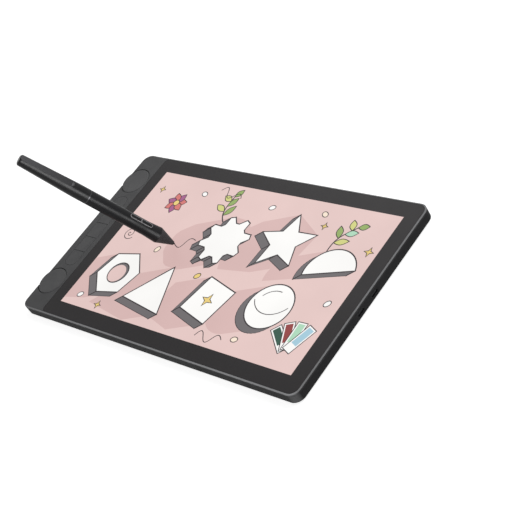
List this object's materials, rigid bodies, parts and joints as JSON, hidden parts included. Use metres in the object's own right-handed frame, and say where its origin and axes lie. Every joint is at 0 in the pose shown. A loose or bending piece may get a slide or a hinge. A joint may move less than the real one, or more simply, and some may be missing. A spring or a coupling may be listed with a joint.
{
  "type": "pen display tablet",
  "caption": "Flat drawing tablet with a built-in screen, a side strip of press keys and edge dials, rubber feet, and its stylus held as if drawing on the glass.",
  "frame": {"origin": "on the desk, under the middle of the casing (the feet stand at Z = 0)", "axes": "+X along the long side, from the control strip towards the sockets; +Y towards the top edge; +Z out of the screen"},
  "size_m": [0.3567, 0.1994, 0.1524],
  "materials": {
    "case_plastic": "fine matt texture, dark grey",
    "strip_plastic": "fine matt texture, dark grey",
    "key_plastic": "smooth matt, dark grey",
    "dial_plastic": "smooth matt, dark grey",
    "screen_glass": "etched anti-glare, black printed border",
    "tape": "black foam tape",
    "panel_glass": "liquid crystal panel",
    "clear_acrylic": "milky light guide",
    "steel_sheet": "plated sheet",
    "circuit_board": "green solder mask",
    "chip_plastic": "moulded black",
    "connector_plastic": "ivory",
    "flex_film": "amber film",
    "rubber": "matt black",
    "screw_steel": "zinc plated",
    "pen_plastic": "soft-touch black",
    "pen_nose_plastic": "satin black",
    "pen_ring_metal": "dark anodised",
    "nib_plastic": "matt black",
    "copper_wire": "enamelled copper winding",
    "ferrite": "sintered",
    "switch_plastic": "grey"
  },
  "bodies": {
    "tablet": {"rear_cover": "case_plastic", "front_frame": "strip_plastic", "cover_glass": "screen_glass", "glass_tape": "tape", "display_panel": "panel_glass", "light_guide": "clear_acrylic", "backlight_tray": "steel_sheet", "light_strip": "flex_film", "pen_sensing_board": "circuit_board", "shield_plate": "steel_sheet", "main_board": "circuit_board", "board_chips": "chip_plastic", "board_connectors": "connector_plastic", "usb_port_upper": "steel_sheet", "usb_port_lower": "steel_sheet", "key_board": "circuit_board", "key_switches": "switch_plastic", "encoder_upper": "switch_plastic", "encoder_lower": "switch_plastic", "power_board": "circuit_board", "power_switch": "switch_plastic", "feet": "rubber", "board_screws": "screw_steel", "display_cable": "flex_film", "sensing_cable": "flex_film", "key_cable": "flex_film", "power_cable": "flex_film"},
    "pen": {"pen_front_barrel": "pen_plastic", "pen_rear_barrel": "pen_plastic", "pen_seam_ring": "pen_ring_metal", "pen_nose_cone": "pen_nose_plastic", "pen_end_cap": "pen_plastic", "pen_ferrite": "ferrite", "pen_coil": "copper_wire", "pen_pressure_sensor": "switch_plastic", "pen_carrier": "chip_plastic", "pen_board": "circuit_board", "pen_switches": "switch_plastic"},
    "key_1": {"key_1": "key_plastic"},
    "key_2": {"key_2": "key_plastic"},
    "key_3": {"key_3": "key_plastic"},
    "key_4": {"key_4": "key_plastic"},
    "key_5": {"key_5": "key_plastic"},
    "dial_upper": {"dial_upper": "dial_plastic"},
    "dial_lower": {"dial_lower": "dial_plastic"},
    "power_button": {"power_button": "key_plastic"},
    "pen_nib": {"pen_nib": "nib_plastic"},
    "pen_button_front": {"pen_button_front": "pen_nose_plastic"},
    "pen_button_rear": {"pen_button_rear": "pen_nose_plastic"}
  },
  "joints": [
    {"name": "dial_upper_turn", "type": "hinge", "parent": "tablet", "child": "dial_upper", "pos_m": [-0.1642, 0.06515, 0.0096], "axis": [0, 0, 1], "continuous": true},
    {"name": "dial_lower_turn", "type": "hinge", "parent": "tablet", "child": "dial_lower", "pos_m": [-0.1642, -0.06515, 0.0096], "axis": [0, 0, 1], "continuous": true},
    {"name": "key_1_press", "type": "slide", "parent": "tablet", "child": "key_1", "axis": [0, 0, -1], "range_m": [0, 0.0005], "stiffness_N_per_m": 900},
    {"name": "key_2_press", "type": "slide", "parent": "tablet", "child": "key_2", "axis": [0, 0, -1], "range_m": [0, 0.0005], "stiffness_N_per_m": 900},
    {"name": "key_3_press", "type": "slide", "parent": "tablet", "child": "key_3", "axis": [0, 0, -1], "range_m": [0, 0.0005], "stiffness_N_per_m": 900},
    {"name": "key_4_press", "type": "slide", "parent": "tablet", "child": "key_4", "axis": [0, 0, -1], "range_m": [0, 0.0005], "stiffness_N_per_m": 900},
    {"name": "key_5_press", "type": "slide", "parent": "tablet", "child": "key_5", "axis": [0, 0, -1], "range_m": [0, 0.0005], "stiffness_N_per_m": 900},
    {"name": "power_button_press", "type": "slide", "parent": "tablet", "child": "power_button", "axis": [0, -1, 0], "range_m": [0, 0.0004], "stiffness_N_per_m": 900},
    {"name": "pen_lift", "type": "slide", "parent": "tablet", "child": "pen", "axis": [0, 0, 1], "range_m": [0, 0.1]},
    {"name": "pen_nib_press", "type": "slide", "parent": "pen", "child": "pen_nib", "axis": [-0.405, -0.258, 0.8771], "range_m": [0, 0.001], "stiffness_N_per_m": 900},
    {"name": "pen_button_front_press", "type": "slide", "parent": "pen", "child": "pen_button_front", "axis": [-0.8074, -0.3493, -0.4755], "range_m": [0, 0.0005], "stiffness_N_per_m": 900},
    {"name": "pen_button_rear_press", "type": "slide", "parent": "pen", "child": "pen_button_rear", "axis": [-0.8074, -0.3493, -0.4755], "range_m": [0, 0.0005], "stiffness_N_per_m": 900}
  ]
}
